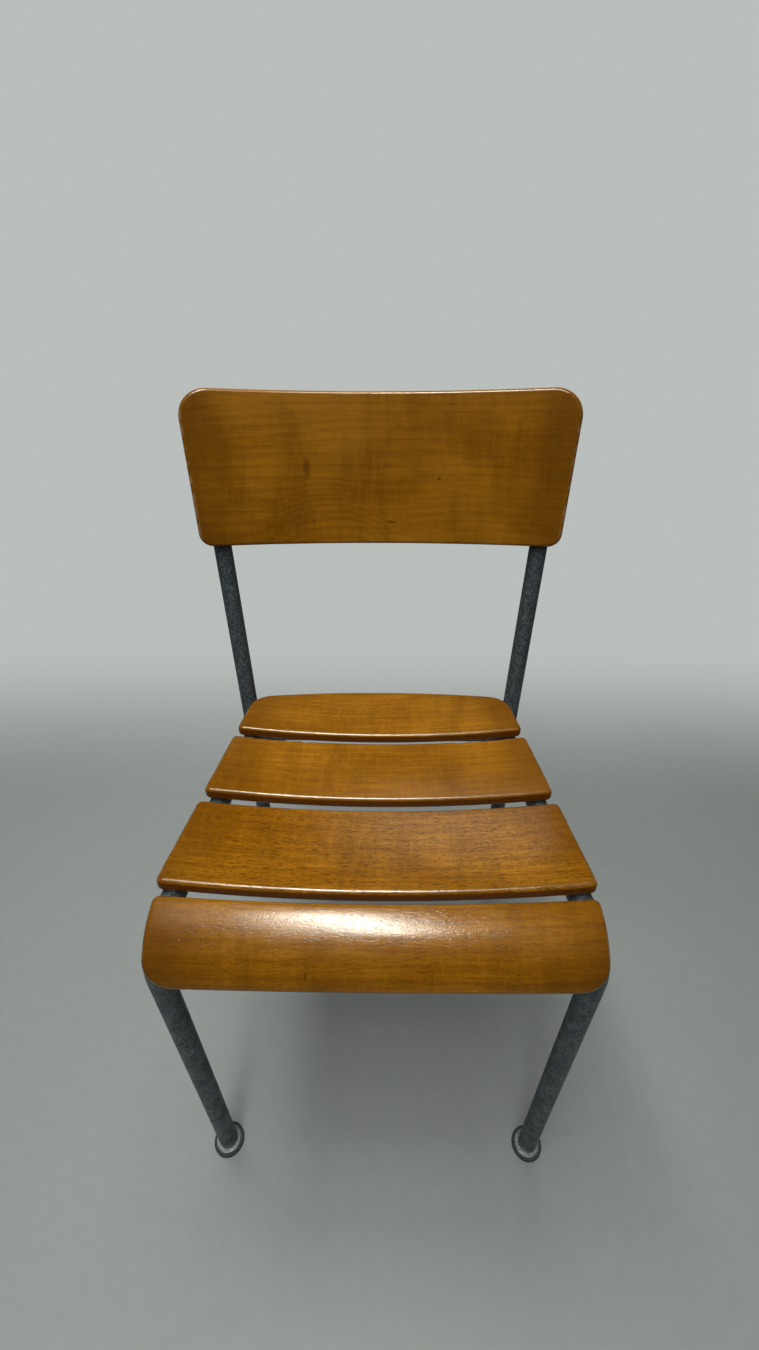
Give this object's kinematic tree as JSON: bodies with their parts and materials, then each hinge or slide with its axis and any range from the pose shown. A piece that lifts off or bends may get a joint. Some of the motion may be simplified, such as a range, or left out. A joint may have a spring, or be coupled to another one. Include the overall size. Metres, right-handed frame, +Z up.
{
  "type": "chair",
  "caption": "Stacking chair: bent steel tube frame, four dished plywood seat slats with a rolled front edge, and a low curved plywood backrest on leaning uprights.",
  "frame": {"origin": "middle of the bounding box on the floor plane", "axes": "+Z up, -Y towards the front of the seat, +X to the right of someone who faces the chair"},
  "size_m": [0.4527, 0.489, 0.8257],
  "materials": {
    "frame_steel": "dull galvanised, mottled and worn",
    "varnished_plywood": "amber varnish, satin, worn",
    "zinc_screws": "zinc plated",
    "black_plastic": "matt",
    "foot_steel": "worn bright",
    "rubber": "matt, dusty"
  },
  "bodies": {
    "root": {"front_leg_rail_left": "frame_steel", "front_leg_rail_right": "frame_steel", "rear_leg_upright_left": "frame_steel", "rear_leg_upright_right": "frame_steel", "front_cross_tube": "frame_steel", "rear_cross_tube": "frame_steel", "front_slat": "varnished_plywood", "second_slat": "varnished_plywood", "third_slat": "varnished_plywood", "rear_slat": "varnished_plywood", "backrest_panel": "varnished_plywood", "front_slat_screws": "zinc_screws", "second_slat_screws": "zinc_screws", "third_slat_screws": "zinc_screws", "rear_slat_screws": "zinc_screws", "backrest_screws": "zinc_screws", "rail_cap_left": "black_plastic", "rail_cap_right": "black_plastic", "upright_cap_left": "black_plastic", "upright_cap_right": "black_plastic", "foot_plate_front_left": "foot_steel", "foot_plate_front_right": "foot_steel", "foot_plate_rear_left": "foot_steel", "foot_plate_rear_right": "foot_steel", "foot_pad_front_left": "rubber", "foot_pad_front_right": "rubber", "foot_pad_rear_left": "rubber", "foot_pad_rear_right": "rubber"}
  },
  "joints": []
}
